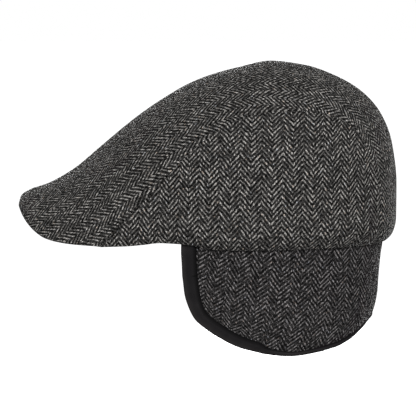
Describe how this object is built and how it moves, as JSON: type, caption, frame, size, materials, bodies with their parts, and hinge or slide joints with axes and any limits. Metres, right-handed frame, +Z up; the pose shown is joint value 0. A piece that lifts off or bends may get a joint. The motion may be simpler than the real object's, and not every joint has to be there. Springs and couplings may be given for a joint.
{
  "type": "duckbill flat cap with earflaps",
  "caption": "Tweed flat cap with a long rounded peak sewn into the crown and a tape-bound flap folded down over the ears and nape.",
  "frame": {"origin": "middle of the head opening, in the plane of the crown's lower rim", "axes": "+Z up along the head, +Y from the peak to the nape, +X to the wearer's left"},
  "size_m": [0.1836, 0.2718, 0.2039],
  "materials": {
    "crown_tweed": "dark grey wool herringbone tweed, matt",
    "peak_tweed": "the same tweed over a stiff board, matt",
    "flap_tweed": "dark grey wool herringbone tweed, doubled, matt",
    "binding_tape": "black woven cotton tape, matt"
  },
  "bodies": {
    "root": {"top_panel": "crown_tweed", "side_panel_left": "crown_tweed", "side_panel_right": "crown_tweed", "peak": "peak_tweed", "ear_flap": "flap_tweed", "flap_binding": "binding_tape"}
  },
  "joints": []
}
